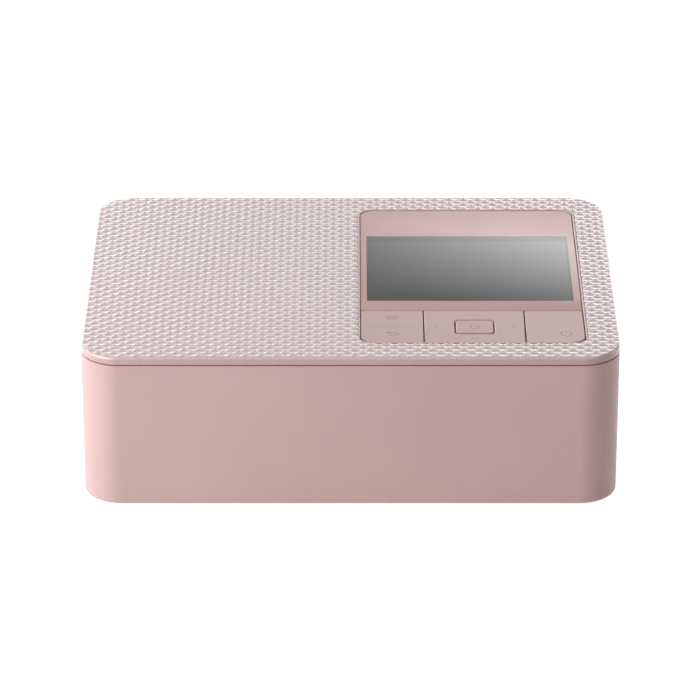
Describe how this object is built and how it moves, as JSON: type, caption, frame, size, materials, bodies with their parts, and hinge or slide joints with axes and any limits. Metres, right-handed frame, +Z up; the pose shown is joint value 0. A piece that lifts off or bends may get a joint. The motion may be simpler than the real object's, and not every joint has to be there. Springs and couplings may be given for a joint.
{
  "type": "photo printer",
  "caption": "Compact flat photo printer: rounded case, patterned lid with inset display and key row, hinged front and ink doors, feed rollers, print head and ink cassette.",
  "frame": {"origin": "under the middle of the body, on the plane of the feet", "axes": "+Z up, +X to the viewer's right as seen from the front, +Y towards the back"},
  "size_m": [0.1822, 0.133, 0.0576],
  "materials": {
    "shell_pink": "fine matte moulded ABS",
    "lid_pink": "moulded ABS with a lattice of small facets",
    "key_pink": "satin",
    "window_pink": "back-painted clear acrylic",
    "screen_dark": "display under its window",
    "black_plastic": "moulded",
    "rubber_dark": "matt",
    "steel_sheet": "zinc-plated sheet",
    "steel_shaft": "ground",
    "nylon": "natural acetal",
    "circuit": "circuit board",
    "heatsink": "extruded",
    "ceramic": "glazed ceramic",
    "film": "dye film",
    "lever_orange": "moulded"
  },
  "bodies": {
    "case": {"base_shell": "shell_pink", "lid_cover": "lid_pink", "slot_fascia": "shell_pink", "feet": "rubber_dark", "lid_screws": "steel_shaft", "panel_frame": "key_pink", "display_window": "window_pink", "display_module": "screen_dark", "key_board": "circuit", "main_board": "circuit", "dc_inlet": "black_plastic", "usb_port": "steel_shaft", "card_reader": "steel_sheet", "chassis_left": "steel_sheet", "chassis_right": "steel_sheet", "chassis_tray": "steel_sheet", "chassis_bridge": "steel_sheet", "motor_plate": "steel_sheet", "shaft_bushes": "nylon", "feed_motor": "steel_sheet", "ribbon_motor": "steel_sheet", "lift_motor": "steel_sheet", "ink_case": "black_plastic", "frame_screws": "steel_shaft"},
    "front_door": {"front_door": "shell_pink"},
    "ink_door": {"ink_door": "shell_pink"},
    "menu_key": {"menu_key": "key_pink"},
    "nav_gimbal": {"nav_gimbal": "nylon"},
    "nav_pad": {"nav_pad": "key_pink"},
    "ok_key": {"ok_key": "key_pink"},
    "power_key": {"power_key": "key_pink"},
    "capstan": {"capstan_roller": "steel_shaft", "capstan_gear": "nylon"},
    "pinch": {"pinch_roller": "steel_shaft"},
    "feed_pinion": {"feed_pinion": "steel_shaft"},
    "idler": {"idler_gear": "nylon"},
    "pickup": {"pickup_shaft": "steel_shaft", "pickup_tyre": "rubber_dark", "pickup_gear": "nylon"},
    "platen": {"platen_shaft": "steel_shaft", "platen_sleeve": "rubber_dark"},
    "head": {"head_arm": "steel_sheet", "head_heatsink": "heatsink", "print_head": "ceramic", "head_sector": "nylon"},
    "lift_pinion": {"lift_pinion": "steel_shaft"},
    "supply": {"supply_spool": "nylon", "supply_film": "film", "supply_hub": "nylon"},
    "takeup": {"takeup_spool": "nylon", "takeup_film": "film", "takeup_gear": "nylon"},
    "ribbon_pinion": {"ribbon_pinion": "steel_shaft"},
    "ink_lever": {"ink_lever": "lever_orange"}
  },
  "joints": [
    {"name": "front_door_hinge", "type": "hinge", "parent": "case", "child": "front_door", "pos_m": [0, -0.0595, 0.012], "axis": [1, 0, 0], "range_deg": [0, 90]},
    {"name": "ink_door_hinge", "type": "hinge", "parent": "case", "child": "ink_door", "pos_m": [0.0876, 0.0445, 0.031], "axis": [0, 0, 1], "range_deg": [0, 90]},
    {"name": "menu_key_rock", "type": "hinge", "parent": "case", "child": "menu_key", "pos_m": [0.01415, -0.04185, 0.0539], "axis": [1, 0, 0], "range_deg": [-1.2, 1.2], "stiffness_Nm_per_rad": 0.02},
    {"name": "nav_tilt_front_back", "type": "hinge", "parent": "case", "child": "nav_gimbal", "pos_m": [0.04225, -0.04205, 0.0539], "axis": [1, 0, 0], "range_deg": [-1, 1], "stiffness_Nm_per_rad": 0.02},
    {"name": "nav_tilt_left_right", "type": "hinge", "parent": "nav_gimbal", "child": "nav_pad", "pos_m": [0.04225, -0.04205, 0.0539], "axis": [0, 1, 0], "range_deg": [-1, 1], "stiffness_Nm_per_rad": 0.02},
    {"name": "ok_key_press", "type": "slide", "parent": "case", "child": "ok_key", "axis": [0, 0, -1], "range_m": [0, 0.0005], "stiffness_N_per_m": 60},
    {"name": "power_key_press", "type": "hinge", "parent": "case", "child": "power_key", "pos_m": [0.06965, -0.0322, 0.0539], "axis": [1, 0, 0], "range_deg": [0, 1.4], "stiffness_Nm_per_rad": 0.02},
    {"name": "capstan_spin", "type": "hinge", "parent": "case", "child": "capstan", "pos_m": [0, -0.001, 0.01938], "axis": [1, 0, 0], "continuous": true},
    {"name": "pinch_spin", "type": "hinge", "parent": "case", "child": "pinch", "pos_m": [0, -0.001, 0.02618], "axis": [1, 0, 0], "continuous": true},
    {"name": "feed_pinion_spin", "type": "hinge", "parent": "case", "child": "feed_pinion", "pos_m": [-0.06, 0.01444, 0.02395], "axis": [1, 0, 0], "continuous": true},
    {"name": "idler_spin", "type": "hinge", "parent": "case", "child": "idler", "pos_m": [-0.06, -0.01854, 0.02178], "axis": [1, 0, 0], "continuous": true},
    {"name": "pickup_spin", "type": "hinge", "parent": "case", "child": "pickup", "pos_m": [0, -0.027, 0.03256], "axis": [1, 0, 0], "continuous": true},
    {"name": "platen_spin", "type": "hinge", "parent": "case", "child": "platen", "pos_m": [0, 0.011, 0.01698], "axis": [1, 0, 0], "continuous": true},
    {"name": "head_lower", "type": "hinge", "parent": "case", "child": "head", "pos_m": [0, 0.051, 0.047], "axis": [1, 0, 0], "range_deg": [0, 13]},
    {"name": "lift_pinion_spin", "type": "hinge", "parent": "case", "child": "lift_pinion", "pos_m": [-0.066, 0.0301, 0.047], "axis": [1, 0, 0], "range_deg": [-60, 60]},
    {"name": "supply_spin", "type": "hinge", "parent": "case", "child": "supply", "pos_m": [0, -0.011, 0.03444], "axis": [1, 0, 0], "continuous": true},
    {"name": "takeup_spin", "type": "hinge", "parent": "case", "child": "takeup", "pos_m": [0, 0.033, 0.03303], "axis": [1, 0, 0], "continuous": true},
    {"name": "ribbon_pinion_spin", "type": "hinge", "parent": "case", "child": "ribbon_pinion", "pos_m": [-0.06, 0.03696, 0.01825], "axis": [1, 0, 0], "continuous": true},
    {"name": "ink_lever_slide", "type": "slide", "parent": "case", "child": "ink_lever", "axis": [0, 0, 1], "range_m": [0, 0.002], "stiffness_N_per_m": 60, "springref_m": -0.0005}
  ],
  "couplings": [
    {"joint": "feed_pinion_spin", "follows": "capstan_spin", "ratio": -3},
    {"joint": "idler_spin", "follows": "capstan_spin", "ratio": -2.1429},
    {"joint": "pickup_spin", "follows": "capstan_spin", "ratio": 1.5},
    {"joint": "pinch_spin", "follows": "capstan_spin", "ratio": -1.6},
    {"joint": "ribbon_pinion_spin", "follows": "takeup_spin", "ratio": -2.8},
    {"joint": "lift_pinion_spin", "follows": "head_lower", "ratio": -3.3333}
  ]
}
